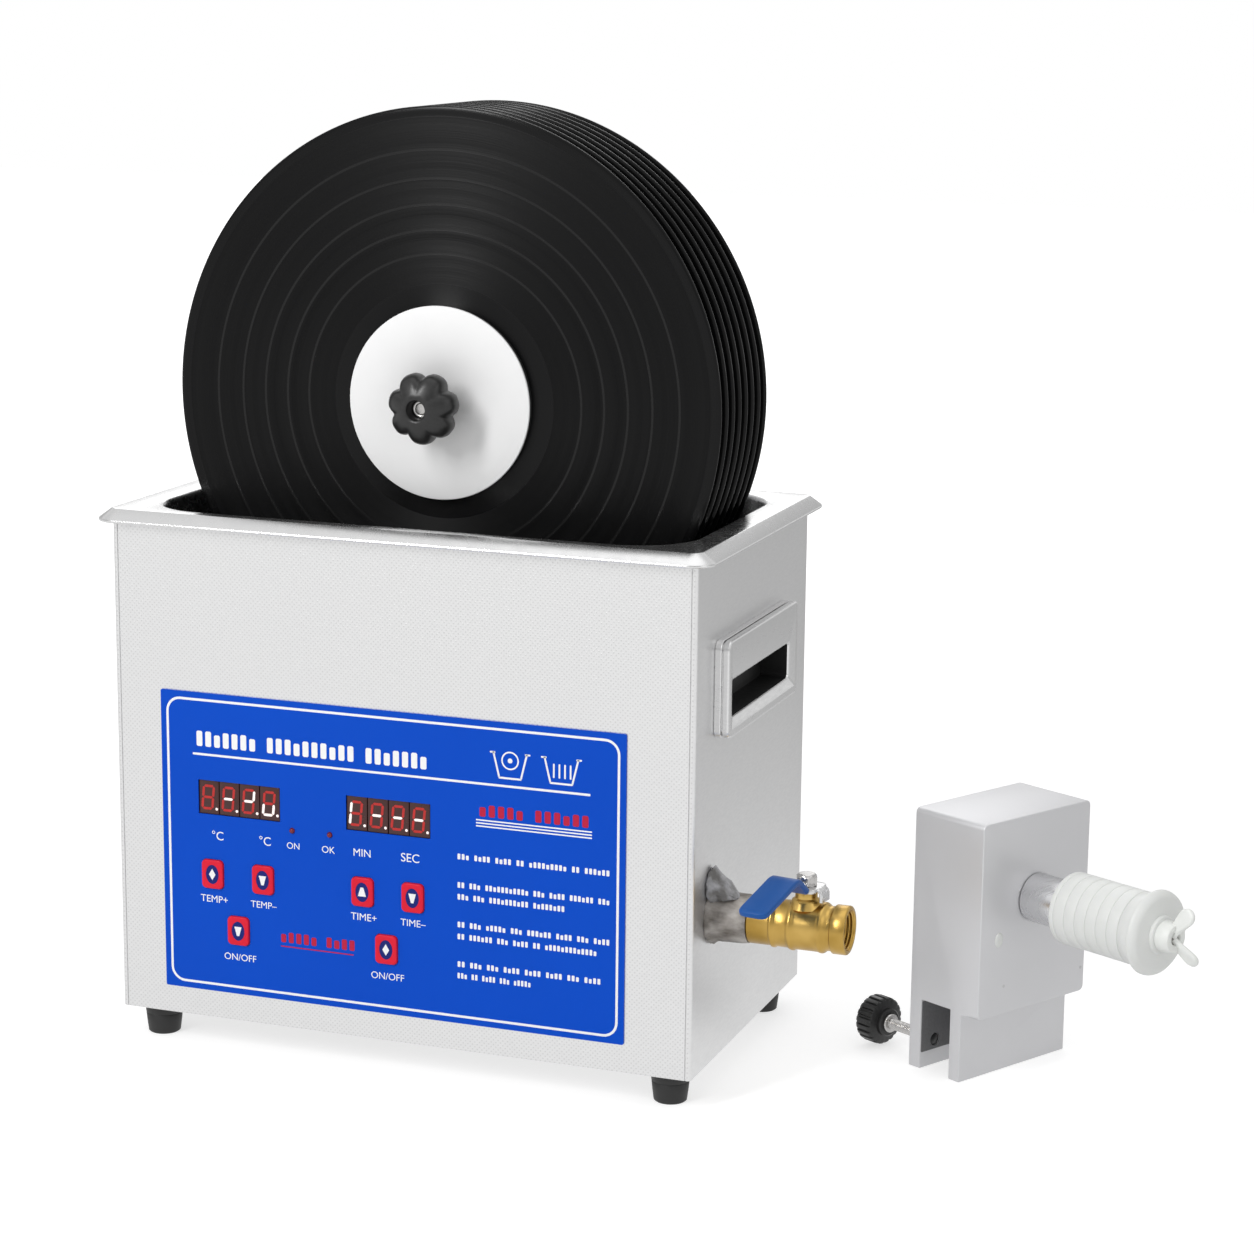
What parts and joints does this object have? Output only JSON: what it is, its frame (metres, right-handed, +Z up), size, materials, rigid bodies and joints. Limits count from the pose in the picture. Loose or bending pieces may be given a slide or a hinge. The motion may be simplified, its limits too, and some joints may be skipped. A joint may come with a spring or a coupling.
{
  "type": "record cleaning machine",
  "caption": "Ultrasonic bath with control panel and drain valve; a rim-clamped drive turns a stack of records through it, and a second drive stands beside it.",
  "frame": {"origin": "on the table plane, midway between the bath's four feet", "axes": "+X to the right along the control panel's side, +Y to the back, +Z up"},
  "size_m": [0.5696, 0.2624, 0.4965],
  "materials": {
    "casing_steel": "satin stainless sheet with a fine grain",
    "tank_steel": "deep-drawn stainless, smooth",
    "handle_steel": "satin stainless pressing",
    "plain_steel": "zinc-plated or bare steel",
    "foot_rubber": "matt black",
    "panel_blue": "satin printed film",
    "display_window": "smoked dark red",
    "lamp_red": "clear red domes",
    "key_red": "satin",
    "circuit_board": "solder mask with dark parts",
    "transducer_aluminium": "turned or extruded",
    "piezo_ceramic": "silvered ceramic rings",
    "heater_pad": "silicone rubber",
    "taped_nipple": "steel wound with sealing tape",
    "valve_brass": "cast, lightly blasted",
    "polished_steel": "bright",
    "lever_vinyl": "dipped vinyl sleeve",
    "white_nylon": "slightly translucent",
    "black_moulding": "satin black",
    "rocker_red": "glossy red",
    "drive_aluminium": "fine satin anodised",
    "collar_aluminium": "turned, bright",
    "record_vinyl": "polished black with fine grooves",
    "gasket_rubber": "matt black",
    "disc_white": "satin white"
  },
  "bodies": {
    "machine": {"casing_wrap": "casing_steel", "base_plate": "plain_steel", "tank_basin": "tank_steel", "rubber_feet": "foot_rubber", "foot_screws": "plain_steel", "right_handle": "handle_steel", "left_handle": "handle_steel", "front_panel": "panel_blue", "temperature_display": "display_window", "timer_display": "display_window", "status_lamps": "lamp_red", "control_board": "circuit_board", "transducer_heads": "transducer_aluminium", "transducer_ceramics": "piezo_ceramic", "transducer_tails": "plain_steel", "transducer_bolts": "plain_steel", "tank_heater": "heater_pad", "generator_board": "circuit_board", "heat_sink": "transducer_aluminium", "drain_pipe": "plain_steel", "drain_nipple": "taped_nipple", "valve_body": "valve_brass", "valve_seats": "white_nylon", "mains_inlet": "black_moulding", "rim_drive_housing": "drive_aluminium", "rim_drive_cover": "drive_aluminium", "rim_gear_motor": "plain_steel"},
    "record_spindle": {"rim_spindle": "polished_steel", "rim_collar": "collar_aluminium", "record_spacers": "white_nylon", "records": "record_vinyl"},
    "record_clamp": {"label_gasket": "gasket_rubber", "clamp_disc": "disc_white"},
    "record_knob": {"star_knob": "black_moulding"},
    "drain_handle": {"valve_ball": "polished_steel", "valve_stem": "valve_brass", "valve_lever": "polished_steel", "lever_sleeve": "lever_vinyl", "lever_nut": "polished_steel"},
    "heat_up_key": {"key_heat_up": "key_red"},
    "heat_down_key": {"key_heat_down": "key_red"},
    "heat_switch_key": {"key_heat_switch": "key_red"},
    "time_up_key": {"key_time_up": "key_red"},
    "time_down_key": {"key_time_down": "key_red"},
    "wash_switch_key": {"key_wash_switch": "key_red"},
    "mains_rocker": {"power_rocker": "rocker_red"},
    "rim_clamp_pad": {"rim_clamp_tip": "black_moulding"},
    "rim_clamp": {"rim_clamp_screw": "polished_steel", "rim_clamp_knob": "black_moulding"},
    "spare_drive": {"spare_drive_housing": "drive_aluminium", "spare_drive_cover": "drive_aluminium", "spare_gear_motor": "plain_steel"},
    "spare_shaft": {"spare_spindle": "polished_steel", "spare_collar": "collar_aluminium", "spare_spacers_set": "white_nylon"},
    "spare_cap": {"spare_end_cap": "white_nylon"},
    "spare_nut": {"spare_wing_nut": "white_nylon"},
    "spare_clamp_pad": {"spare_clamp_tip": "black_moulding"},
    "spare_clamp": {"spare_clamp_screw": "polished_steel", "spare_clamp_knob": "black_moulding"}
  },
  "joints": [
    {"name": "record_turn", "type": "hinge", "parent": "machine", "child": "record_spindle", "pos_m": [0.0033, -0.00505, 0.346], "axis": [0, -1, 0], "continuous": true},
    {"name": "record_clamp_slide", "type": "slide", "parent": "record_spindle", "child": "record_clamp", "axis": [0, -1, 0], "range_m": [0, 0.008]},
    {"name": "record_knob_turn", "type": "hinge", "parent": "record_clamp", "child": "record_knob", "pos_m": [0.0033, -0.06505, 0.346], "axis": [0, -1, 0], "range_deg": [0, 2880]},
    {"name": "drain_lever_turn", "type": "hinge", "parent": "machine", "child": "drain_handle", "pos_m": [0.2105, -0.062, 0.1164], "axis": [0, 0, 1], "range_deg": [0, 90]},
    {"name": "heat_up_press", "type": "slide", "parent": "machine", "child": "heat_up_key", "axis": [0, 1, 0], "range_m": [0, 0.0006], "stiffness_N_per_m": 400, "springref_m": -0.001},
    {"name": "heat_down_press", "type": "slide", "parent": "machine", "child": "heat_down_key", "axis": [0, 1, 0], "range_m": [0, 0.0006], "stiffness_N_per_m": 400, "springref_m": -0.001},
    {"name": "heat_switch_press", "type": "slide", "parent": "machine", "child": "heat_switch_key", "axis": [0, 1, 0], "range_m": [0, 0.0006], "stiffness_N_per_m": 400, "springref_m": -0.001},
    {"name": "time_up_press", "type": "slide", "parent": "machine", "child": "time_up_key", "axis": [0, 1, 0], "range_m": [0, 0.0006], "stiffness_N_per_m": 400, "springref_m": -0.001},
    {"name": "time_down_press", "type": "slide", "parent": "machine", "child": "time_down_key", "axis": [0, 1, 0], "range_m": [0, 0.0006], "stiffness_N_per_m": 400, "springref_m": -0.001},
    {"name": "wash_switch_press", "type": "slide", "parent": "machine", "child": "wash_switch_key", "axis": [0, 1, 0], "range_m": [0, 0.0006], "stiffness_N_per_m": 400, "springref_m": -0.001},
    {"name": "mains_rocker_tip", "type": "hinge", "parent": "machine", "child": "mains_rocker", "pos_m": [-0.1, 0.091, 0.091], "axis": [-1, 0, 0], "range_deg": [0, 16]},
    {"name": "rim_clamp_slide", "type": "slide", "parent": "machine", "child": "rim_clamp_pad", "axis": [0, 1, 0], "range_m": [0, 0.012]},
    {"name": "rim_clamp_turn", "type": "hinge", "parent": "rim_clamp_pad", "child": "rim_clamp", "pos_m": [-0.0267, 0.12495, 0.264], "axis": [0, 1, 0], "range_deg": [0, 4320]},
    {"name": "spare_drive_lift", "type": "slide", "parent": "machine", "child": "spare_drive", "axis": [0, 0, 1], "range_m": [0, 0.1]},
    {"name": "spare_shaft_turn", "type": "hinge", "parent": "spare_drive", "child": "spare_shaft", "pos_m": [0.33338, 0.01601, 0.096], "axis": [0.8746, -0.4848, 0], "continuous": true},
    {"name": "spare_cap_slide", "type": "slide", "parent": "spare_shaft", "child": "spare_cap", "axis": [0.8746, -0.4848, 0], "range_m": [0, 0.005]},
    {"name": "spare_nut_turn", "type": "hinge", "parent": "spare_cap", "child": "spare_nut", "pos_m": [0.39023, -0.0155, 0.096], "axis": [0.8746, -0.4848, 0], "range_deg": [0, 1800]},
    {"name": "spare_clamp_slide", "type": "slide", "parent": "spare_drive", "child": "spare_clamp_pad", "axis": [0.8746, -0.4848, 0], "range_m": [0, 0.012]},
    {"name": "spare_clamp_turn", "type": "hinge", "parent": "spare_clamp_pad", "child": "spare_clamp", "pos_m": [0.24012, 0.03341, 0.014], "axis": [0.8746, -0.4848, 0], "range_deg": [0, 4320]}
  ],
  "couplings": [
    {"joint": "record_knob_turn", "follows": "record_clamp_slide", "rad_per_m": 6283},
    {"joint": "rim_clamp_turn", "follows": "rim_clamp_slide", "rad_per_m": 6283},
    {"joint": "spare_nut_turn", "follows": "spare_cap_slide", "rad_per_m": 6283},
    {"joint": "spare_clamp_turn", "follows": "spare_clamp_slide", "rad_per_m": 6283}
  ]
}
